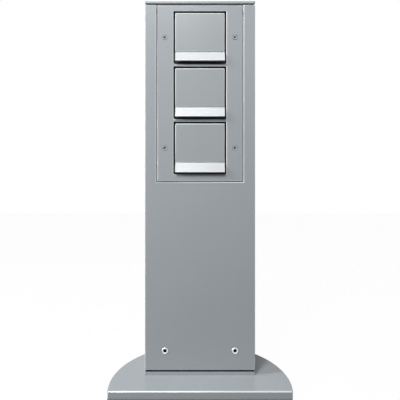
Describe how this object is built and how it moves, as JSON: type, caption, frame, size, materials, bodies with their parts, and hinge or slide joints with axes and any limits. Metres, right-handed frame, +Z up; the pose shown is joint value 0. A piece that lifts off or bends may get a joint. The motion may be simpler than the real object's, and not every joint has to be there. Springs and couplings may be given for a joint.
{
  "type": "garden socket post",
  "caption": "Free-standing outdoor power post: a slim column with an arched back on a rounded ground plate, with sprung flap lids over recessed earthed plug sockets.",
  "frame": {"origin": "middle of the ground plate's underside, centre of the plate's box", "axes": "+Z up the column, -Y out of the front with the lids, +X to the right seen from the front"},
  "size_m": [0.224, 0.137, 0.491],
  "materials": {
    "coated_metal": "silver-grey satin powder coat",
    "coated_screws": "silver-grey satin coat",
    "lid_plastic": "silver-grey satin moulding",
    "label_card": "plain white card",
    "clear_cover": "clear moulded strip",
    "inner_plastic": "dark grey moulding",
    "terminal_plastic": "pale moulding",
    "seal_rubber": "soft black",
    "stainless_steel": "bright stainless",
    "zinc_plated_steel": "zinc plated sheet",
    "contact_brass": "plain strip"
  },
  "bodies": {
    "post": {"ground_plate": "coated_metal", "foot_collar": "coated_metal", "foot_bracket": "zinc_plated_steel", "column_tube": "coated_metal", "column_screws": "stainless_steel", "top_cap": "coated_metal", "insert_panel": "coated_metal", "panel_screws": "coated_screws", "panel_standoffs": "zinc_plated_steel", "mounting_frame": "zinc_plated_steel", "terminal_block": "terminal_plastic", "upper_lid_spring": "stainless_steel", "upper_hinge_pin": "stainless_steel", "upper_socket_front": "inner_plastic", "upper_unit_gasket": "seal_rubber", "upper_earth_clip": "contact_brass", "upper_contact_carrier": "terminal_plastic", "upper_contacts": "contact_brass", "upper_mounting_ring": "zinc_plated_steel", "middle_lid_spring": "stainless_steel", "middle_hinge_pin": "stainless_steel", "middle_socket_front": "inner_plastic", "middle_unit_gasket": "seal_rubber", "middle_earth_clip": "contact_brass", "middle_contact_carrier": "terminal_plastic", "middle_contacts": "contact_brass", "middle_mounting_ring": "zinc_plated_steel", "lower_lid_spring": "stainless_steel", "lower_hinge_pin": "stainless_steel", "lower_socket_front": "inner_plastic", "lower_unit_gasket": "seal_rubber", "lower_earth_clip": "contact_brass", "lower_contact_carrier": "terminal_plastic", "lower_contacts": "contact_brass", "lower_mounting_ring": "zinc_plated_steel"},
    "upper_flap": {"upper_lid": "lid_plastic", "upper_lid_label": "label_card", "upper_label_cover": "clear_cover", "upper_lid_seal": "seal_rubber"},
    "middle_flap": {"middle_lid": "lid_plastic", "middle_lid_label": "label_card", "middle_label_cover": "clear_cover", "middle_lid_seal": "seal_rubber"},
    "lower_flap": {"lower_lid": "lid_plastic", "lower_lid_label": "label_card", "lower_label_cover": "clear_cover", "lower_lid_seal": "seal_rubber"}
  },
  "joints": [
    {"name": "upper_lid_hinge", "type": "hinge", "parent": "post", "child": "upper_flap", "pos_m": [0, -0.0264, 0.4723], "axis": [-1, 0, 0], "range_deg": [0, 105], "stiffness_Nm_per_rad": 0.012, "springref_deg": -20.05},
    {"name": "middle_lid_hinge", "type": "hinge", "parent": "post", "child": "middle_flap", "pos_m": [0, -0.0264, 0.4013], "axis": [-1, 0, 0], "range_deg": [0, 105], "stiffness_Nm_per_rad": 0.012, "springref_deg": -20.05},
    {"name": "lower_lid_hinge", "type": "hinge", "parent": "post", "child": "lower_flap", "pos_m": [0, -0.0264, 0.3303], "axis": [-1, 0, 0], "range_deg": [0, 105], "stiffness_Nm_per_rad": 0.012, "springref_deg": -20.05}
  ]
}
